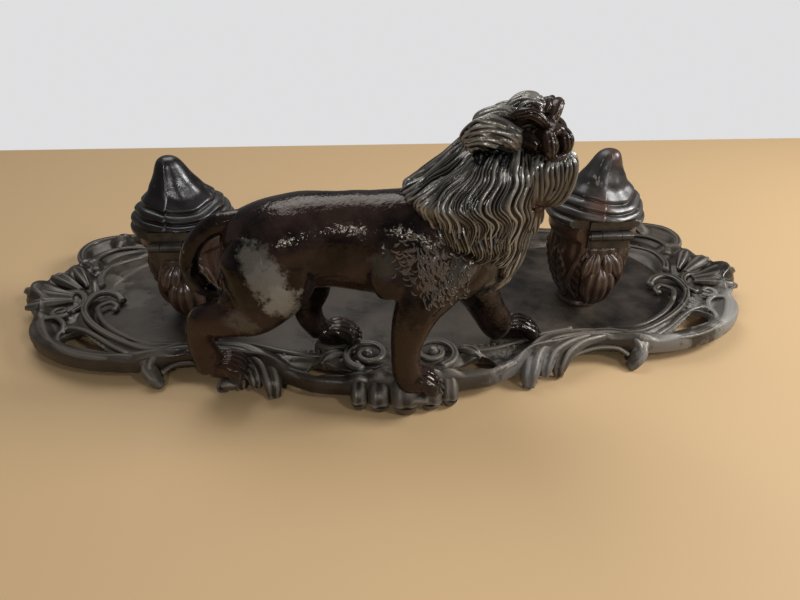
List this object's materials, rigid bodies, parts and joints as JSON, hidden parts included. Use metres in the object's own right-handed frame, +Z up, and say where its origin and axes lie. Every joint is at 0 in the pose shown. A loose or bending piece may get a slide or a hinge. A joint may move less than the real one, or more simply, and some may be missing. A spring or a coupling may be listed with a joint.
{
  "type": "desk inkstand",
  "caption": "Desk inkstand: a scrolled, pierced metal tray carrying a striding lion between two lidded inkwells with glass liners.",
  "frame": {"origin": "on the table under the middle of the tray", "axes": "+X along the tray towards the lion's head end, +Y from the lion's side to the writer's side, +Z up"},
  "size_m": [0.3642, 0.1559, 0.1205],
  "materials": {
    "tray_iron": "patinated",
    "lion_bronze": "glossy brown patina",
    "lid_bronze": "glossy dark patina",
    "pot_bronze": "glossy copper-brown patina",
    "liner_glass": "clear",
    "hinge_brass": "worn",
    "screw_steel": "dull"
  },
  "bodies": {
    "stand": {"tray": "tray_iron", "pot_left": "pot_bronze", "pot_right": "pot_bronze", "liner_left": "liner_glass", "liner_right": "liner_glass", "pot_hinge_leaf_left": "hinge_brass", "pot_hinge_leaf_right": "hinge_brass", "hinge_pin_left": "screw_steel", "hinge_pin_right": "screw_steel", "lion_hindquarters": "lion_bronze", "lion_forequarters": "lion_bronze", "lion_head": "lion_bronze", "lion_tail": "lion_bronze", "paw_screws": "screw_steel", "pot_screws": "screw_steel"},
    "lid_l": {"lid_left": "lid_bronze", "lid_hinge_leaf_left": "hinge_brass"},
    "lid_r": {"lid_right": "lid_bronze", "lid_hinge_leaf_right": "hinge_brass"}
  },
  "joints": [
    {"name": "lid_left_hinge", "type": "hinge", "parent": "stand", "child": "lid_l", "pos_m": [-0.097, -0.0149, 0.0475], "axis": [1, 0, 0], "range_deg": [0, 100]},
    {"name": "lid_right_hinge", "type": "hinge", "parent": "stand", "child": "lid_r", "pos_m": [0.097, -0.0149, 0.0475], "axis": [1, 0, 0], "range_deg": [0, 100]}
  ]
}
